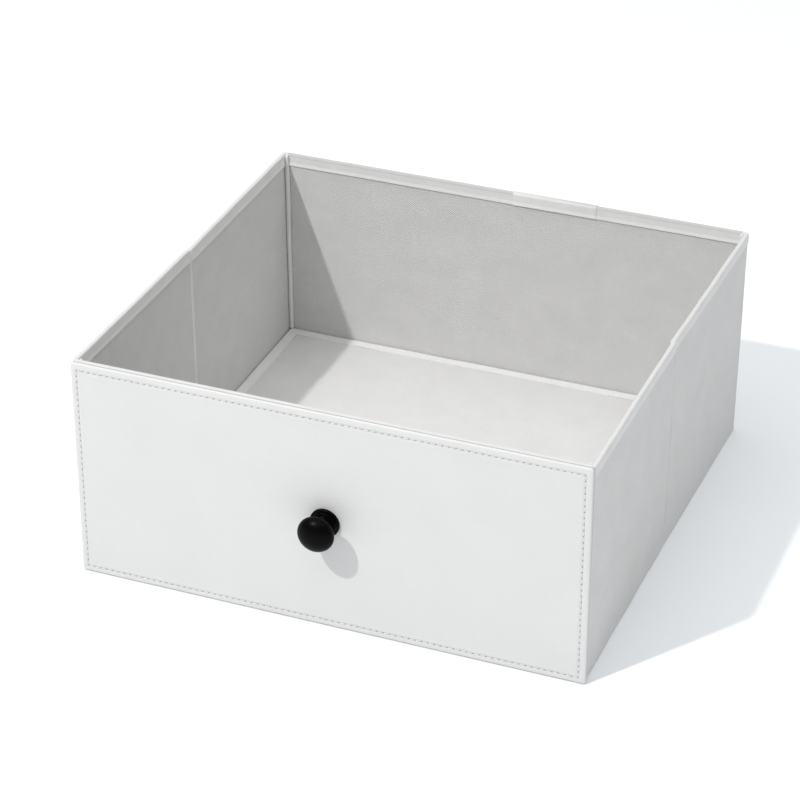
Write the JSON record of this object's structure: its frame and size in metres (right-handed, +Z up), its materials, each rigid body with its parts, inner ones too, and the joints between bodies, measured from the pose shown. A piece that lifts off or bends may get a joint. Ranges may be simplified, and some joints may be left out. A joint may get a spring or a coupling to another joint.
{
  "type": "folding fabric storage drawer",
  "caption": "Open-topped fabric drawer with a stitched faux-leather front, a turned black knob, a loose floor and walls that fold flat.",
  "frame": {"origin": "on the standing plane, midway between the knob's tip and the back of the rim, and midway between the sides", "axes": "+X to the right seen from the front, front panel faces -Y, +Z up"},
  "size_m": [0.4, 0.411, 0.18],
  "materials": {
    "faux_leather": "white coated faux leather, fine grain, satin",
    "panel_board": "grey book board",
    "seam_thread": "white polyester lockstitch thread",
    "knob_plastic": "glossy black, turned rings",
    "insert_brass": "machined",
    "plated_steel": "zinc plated",
    "outer_cloth": "embossed spunbond nonwoven, matt white",
    "inner_cloth": "embossed spunbond nonwoven, matt white",
    "base_cloth": "embossed spunbond nonwoven, matt white",
    "floor_cloth": "embossed spunbond nonwoven, matt white",
    "rim_tape": "folded binding tape, smooth matt white",
    "floor_tape": "folded binding tape, smooth matt white",
    "corner_piping": "cord covered in white cloth",
    "grey_board": "grey book board"
  },
  "bodies": {
    "front_and_base": {"front_cover": "faux_leather", "front_board": "panel_board", "front_stitching": "seam_thread", "knob": "knob_plastic", "knob_insert": "insert_brass", "knob_screw": "plated_steel", "knob_washer": "plated_steel", "front_wall_board": "grey_board", "front_wall_skin": "outer_cloth", "front_wall_lining": "inner_cloth", "front_wall_rim_tape": "rim_tape", "front_left_piping": "corner_piping", "front_right_piping": "corner_piping", "base_cloth": "base_cloth", "left_base_band": "base_cloth", "right_base_band": "base_cloth", "back_base_band": "base_cloth"},
    "left_front_wall": {"left_front_board": "grey_board", "left_front_skin": "outer_cloth", "left_front_lining": "inner_cloth", "left_front_rim_tape": "rim_tape", "left_front_hem": "outer_cloth"},
    "left_rear_wall": {"left_rear_board": "grey_board", "left_rear_skin": "outer_cloth", "left_rear_lining": "inner_cloth", "left_rear_rim_tape": "rim_tape", "left_rear_hem": "outer_cloth"},
    "right_front_wall": {"right_front_board": "grey_board", "right_front_skin": "outer_cloth", "right_front_lining": "inner_cloth", "right_front_rim_tape": "rim_tape", "right_front_hem": "outer_cloth"},
    "right_rear_wall": {"right_rear_board": "grey_board", "right_rear_skin": "outer_cloth", "right_rear_lining": "inner_cloth", "right_rear_rim_tape": "rim_tape", "right_rear_hem": "outer_cloth"},
    "back_wall": {"back_board": "grey_board", "back_skin": "outer_cloth", "back_lining": "inner_cloth", "back_rim_tape": "rim_tape", "back_hem": "outer_cloth", "rear_left_piping": "corner_piping", "rear_right_piping": "corner_piping"},
    "floor": {"floor_board": "grey_board", "floor_top_cover": "floor_cloth", "floor_bottom_cover": "floor_cloth", "floor_binding": "floor_tape"}
  },
  "joints": [
    {"name": "left_front_fold", "type": "hinge", "parent": "front_and_base", "child": "left_front_wall", "pos_m": [-0.1935, -0.1709, 0.098], "axis": [0, 0, -1], "range_deg": [0, 89], "deforming": ["left_front_hem"]},
    {"name": "left_crease_fold", "type": "hinge", "parent": "left_front_wall", "child": "left_rear_wall", "pos_m": [-0.1992, 0.01455, 0.098], "axis": [0, 0, 1], "range_deg": [0, 178], "deforming": ["left_rear_hem"]},
    {"name": "back_corner_fold", "type": "hinge", "parent": "left_rear_wall", "child": "back_wall", "pos_m": [-0.1935, 0.2, 0.098], "axis": [0, 0, -1], "range_deg": [0, 89], "deforming": ["back_hem"]},
    {"name": "right_front_fold", "type": "hinge", "parent": "front_and_base", "child": "right_front_wall", "pos_m": [0.1935, -0.1709, 0.098], "axis": [0, 0, 1], "range_deg": [0, 89], "deforming": ["right_front_hem"]},
    {"name": "right_crease_fold", "type": "hinge", "parent": "right_front_wall", "child": "right_rear_wall", "pos_m": [0.1992, 0.01455, 0.098], "axis": [0, 0, -1], "range_deg": [0, 178], "deforming": ["right_rear_hem"]},
    {"name": "floor_lift", "type": "slide", "parent": "front_and_base", "child": "floor", "axis": [0, 0, 1], "range_m": [0, 0.2]}
  ],
  "couplings": [
    {"joint": "left_crease_fold", "follows": "left_front_fold", "ratio": 2},
    {"joint": "back_corner_fold", "follows": "left_front_fold", "ratio": 1},
    {"joint": "right_front_fold", "follows": "left_front_fold", "ratio": 1},
    {"joint": "right_crease_fold", "follows": "left_front_fold", "ratio": 2}
  ]
}
